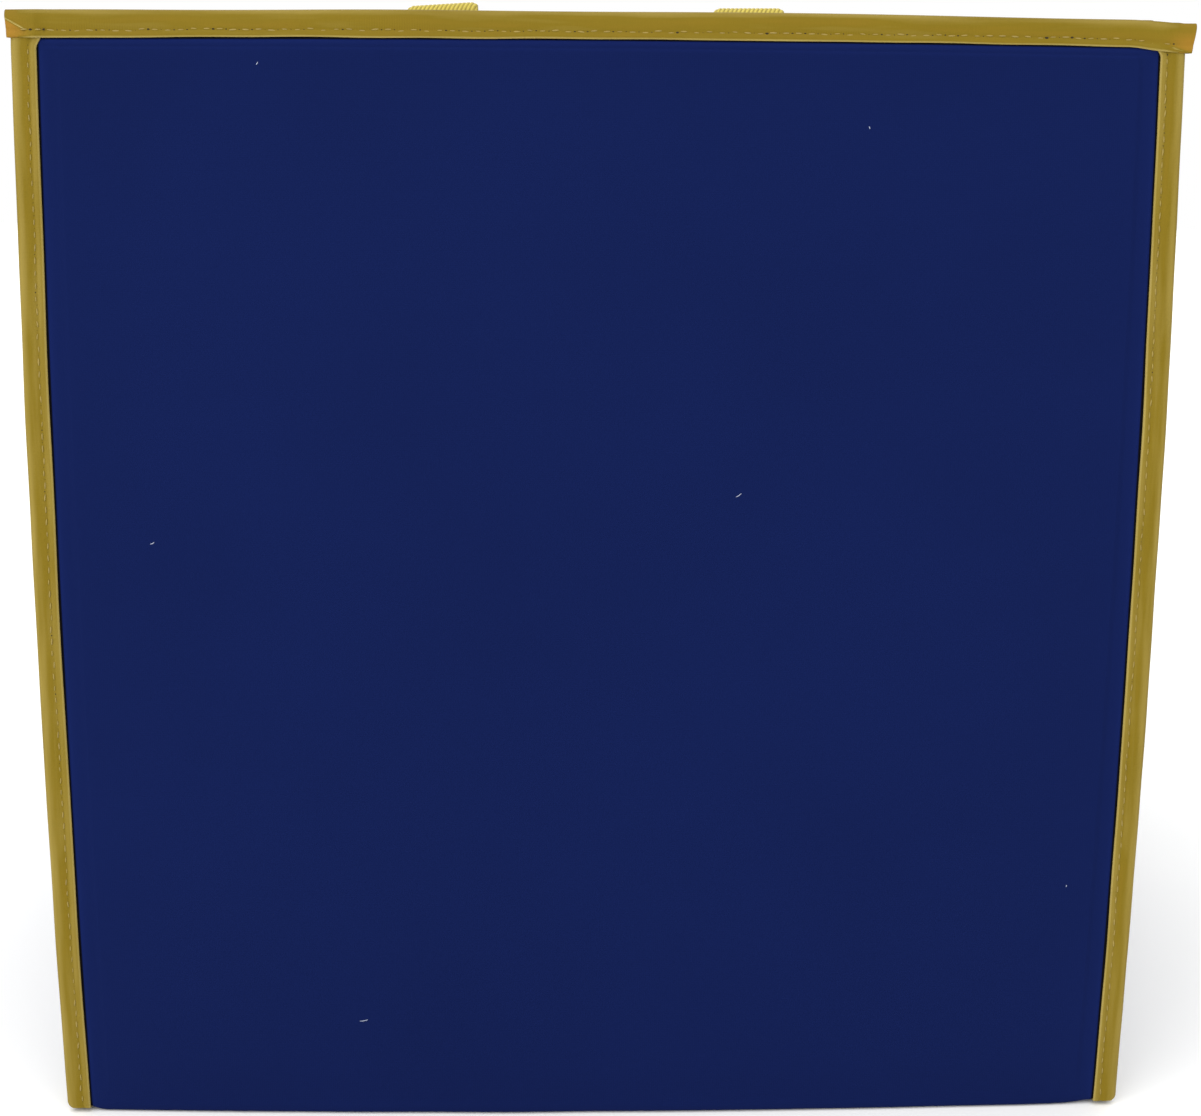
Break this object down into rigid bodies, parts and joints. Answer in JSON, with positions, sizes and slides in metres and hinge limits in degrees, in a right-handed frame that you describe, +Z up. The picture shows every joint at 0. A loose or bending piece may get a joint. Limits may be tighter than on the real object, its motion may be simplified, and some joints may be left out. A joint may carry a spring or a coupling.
{
  "type": "fabric storage bin",
  "caption": "Square cloth storage bin with board-stiffened walls, bound rim and seams, a webbing handle inside the front and back walls, and creased sides that fold flat.",
  "frame": {"origin": "on the floor, under the middle of the bin", "axes": "+X to the right seen from the front, -Y out of the front wall, +Z up through the open mouth"},
  "size_m": [0.3336, 0.318, 0.3354],
  "materials": {
    "navy cloth": "matte",
    "lining": "matte",
    "yellow tape": "satin",
    "yellow webbing": "matte",
    "board": "matte"
  },
  "bodies": {
    "back": {"back_wall_cloth": "navy cloth", "back_wall_board": "board", "back_wall_lining": "lining", "back_rim_tape": "yellow tape", "back_left_seam_tape": "yellow tape", "back_right_seam_tape": "yellow tape", "back_left_turned_edge": "navy cloth", "back_right_turned_edge": "navy cloth", "back_handle_left_end": "yellow webbing", "back_handle_right_end": "yellow webbing", "left_gusset": "navy cloth", "right_gusset": "navy cloth"},
    "left_rear": {"left_rear_cloth": "navy cloth", "left_rear_board": "board", "left_rear_lining": "lining", "left_rear_rim_tape": "yellow tape"},
    "left_front": {"left_front_cloth": "navy cloth", "left_front_board": "board", "left_front_lining": "lining", "left_front_rim_tape": "yellow tape"},
    "front": {"front_wall_cloth": "navy cloth", "front_wall_board": "board", "front_wall_lining": "lining", "front_rim_tape": "yellow tape", "front_left_seam_tape": "yellow tape", "front_right_seam_tape": "yellow tape", "front_left_turned_edge": "navy cloth", "front_right_turned_edge": "navy cloth", "front_handle_left_end": "yellow webbing", "front_handle_right_end": "yellow webbing"},
    "right_front": {"right_front_cloth": "navy cloth", "right_front_board": "board", "right_front_lining": "lining", "right_front_rim_tape": "yellow tape"},
    "right_rear": {"right_rear_cloth": "navy cloth", "right_rear_board": "board", "right_rear_lining": "lining", "right_rear_rim_tape": "yellow tape"},
    "base_rear": {"base_rear_cloth": "navy cloth", "base_rear_board": "board", "base_rear_lining": "lining", "base_rear_left_seam_tape": "yellow tape", "base_rear_right_seam_tape": "yellow tape"},
    "base_front": {"base_front_cloth": "navy cloth", "base_front_board": "board", "base_front_lining": "lining", "base_front_left_seam_tape": "yellow tape", "base_front_right_seam_tape": "yellow tape"},
    "front_handle": {"front_handle_loop": "yellow webbing"},
    "back_handle": {"back_handle_loop": "yellow webbing"}
  },
  "joints": [
    {"name": "fold", "type": "hinge", "parent": "back", "child": "left_rear", "pos_m": [-0.1526, 0.1526, 0.17], "axis": [0, 0, 1], "range_deg": [0, 78], "deforming": ["left_gusset", "right_gusset"]},
    {"name": "left_crease", "type": "hinge", "parent": "left_rear", "child": "left_front", "pos_m": [-0.159, 0, 0.17], "axis": [0, 0, -1], "range_deg": [0, 156]},
    {"name": "front_left_corner", "type": "hinge", "parent": "left_front", "child": "front", "pos_m": [-0.1526, -0.1526, 0.17], "axis": [0, 0, 1], "range_deg": [0, 78]},
    {"name": "front_right_corner", "type": "hinge", "parent": "front", "child": "right_front", "pos_m": [0.1526, -0.1526, 0.17], "axis": [0, 0, 1], "range_deg": [0, 78]},
    {"name": "right_crease", "type": "hinge", "parent": "right_front", "child": "right_rear", "pos_m": [0.159, 0, 0.17], "axis": [0, 0, -1], "range_deg": [0, 156]},
    {"name": "base_back_edge", "type": "hinge", "parent": "back", "child": "base_rear", "pos_m": [0, 0.1526, 0.0064], "axis": [-1, 0, 0], "range_deg": [0, 78]},
    {"name": "base_crease", "type": "hinge", "parent": "base_rear", "child": "base_front", "pos_m": [0, 0, 0], "axis": [1, 0, 0], "range_deg": [0, 156]},
    {"name": "front_handle_swing", "type": "hinge", "parent": "front", "child": "front_handle", "pos_m": [0, -0.1486, 0.3364], "axis": [1, 0, 0], "range_deg": [0, 180]},
    {"name": "back_handle_swing", "type": "hinge", "parent": "back", "child": "back_handle", "pos_m": [0, 0.1486, 0.3364], "axis": [-1, 0, 0], "range_deg": [0, 180]}
  ],
  "couplings": [
    {"joint": "left_crease", "follows": "fold", "ratio": 2},
    {"joint": "front_left_corner", "follows": "fold", "ratio": 1},
    {"joint": "front_right_corner", "follows": "fold", "ratio": 1},
    {"joint": "right_crease", "follows": "fold", "ratio": 2},
    {"joint": "base_back_edge", "follows": "fold", "ratio": 1},
    {"joint": "base_crease", "follows": "fold", "ratio": 2}
  ]
}
